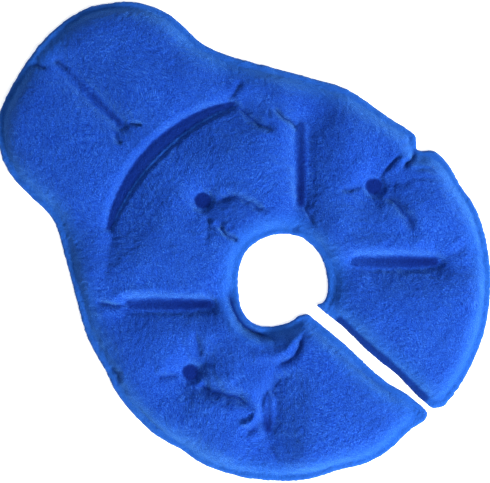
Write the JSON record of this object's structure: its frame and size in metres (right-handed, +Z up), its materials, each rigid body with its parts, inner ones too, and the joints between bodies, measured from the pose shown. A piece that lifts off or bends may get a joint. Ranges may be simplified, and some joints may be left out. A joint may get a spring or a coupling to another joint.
{
  "type": "gel compress",
  "caption": "Flat slit ring with a central hole and a rounded side lobe: plush-faced hot and cold gel pack with pressed weld lines.",
  "frame": {"origin": "middle of the whole outline, on the resting face of the back film", "axes": "+Y along the long axis from the slit towards the lobe, +Z up out of the plush face"},
  "size_m": [0.203, 0.2711, 0.012],
  "materials": {
    "plush": "royal-blue short-pile plush",
    "pressed_plush": "plush pressed flat by the weld",
    "film": "glossy blue-tinted vinyl film",
    "gel": "soft blue gel"
  },
  "bodies": {
    "core": {"back_film_core": "film", "face_cover_core": "plush", "face_film_core": "film", "gel_fill_core": "gel", "rim_weld_core_hole": "pressed_plush", "rim_weld_core_left": "pressed_plush", "rim_weld_core_right": "pressed_plush", "weld_arc": "pressed_plush", "weld_bar_upper_left": "pressed_plush", "weld_bar_upper_right": "pressed_plush", "weld_dot_core": "pressed_plush"},
    "left_flap": {"back_film_left_flap": "film", "face_cover_left_flap": "plush", "face_film_left_flap": "film", "gel_fill_left_flap": "gel", "rim_weld_left_flap": "pressed_plush"},
    "left_side": {"back_film_left_side": "film", "face_cover_left_side": "plush", "face_film_left_side": "film", "gel_fill_left_side": "gel", "rim_weld_left_side": "pressed_plush", "rim_weld_left_side_hole": "pressed_plush", "weld_bar_lower_left": "pressed_plush", "weld_dot_left": "pressed_plush"},
    "lobe": {"back_film_lobe": "film", "face_cover_lobe": "plush", "face_film_lobe": "film", "gel_fill_lobe": "gel", "rim_weld_lobe": "pressed_plush", "weld_bar_lobe": "pressed_plush"},
    "right_flap": {"back_film_right_flap": "film", "face_cover_right_flap": "plush", "face_film_right_flap": "film", "gel_fill_right_flap": "gel", "rim_weld_right_flap": "pressed_plush"},
    "right_side": {"back_film_right_side": "film", "face_cover_right_side": "plush", "face_film_right_side": "film", "gel_fill_right_side": "gel", "rim_weld_right_side": "pressed_plush", "rim_weld_right_side_hole": "pressed_plush", "weld_bar_lower_right": "pressed_plush", "weld_dot_right": "pressed_plush"}
  },
  "joints": [
    {"name": "lobe_fold", "type": "hinge", "parent": "core", "child": "lobe", "pos_m": [0, 0.04675, 0.00025], "axis": [1, 0, 0], "range_deg": [0, 45]},
    {"name": "right_fold", "type": "hinge", "parent": "core", "child": "right_side", "pos_m": [0.05063, -0.00003, 0.00025], "axis": [-0.7071, -0.7071, 0], "range_deg": [0, 15]},
    {"name": "right_flap_fold", "type": "hinge", "parent": "right_side", "child": "right_flap", "pos_m": [0.04632, -0.07279, 0.00025], "axis": [-0.7071, 0.7071, 0], "range_deg": [0, 45]},
    {"name": "left_fold", "type": "hinge", "parent": "core", "child": "left_side", "pos_m": [-0.0536, -0.003, 0.00025], "axis": [-0.7071, 0.7071, 0], "range_deg": [0, 15]},
    {"name": "left_flap_fold", "type": "hinge", "parent": "left_side", "child": "left_flap", "pos_m": [-0.04589, -0.07321, 0.00025], "axis": [-0.7071, -0.7071, 0], "range_deg": [0, 45]}
  ]
}
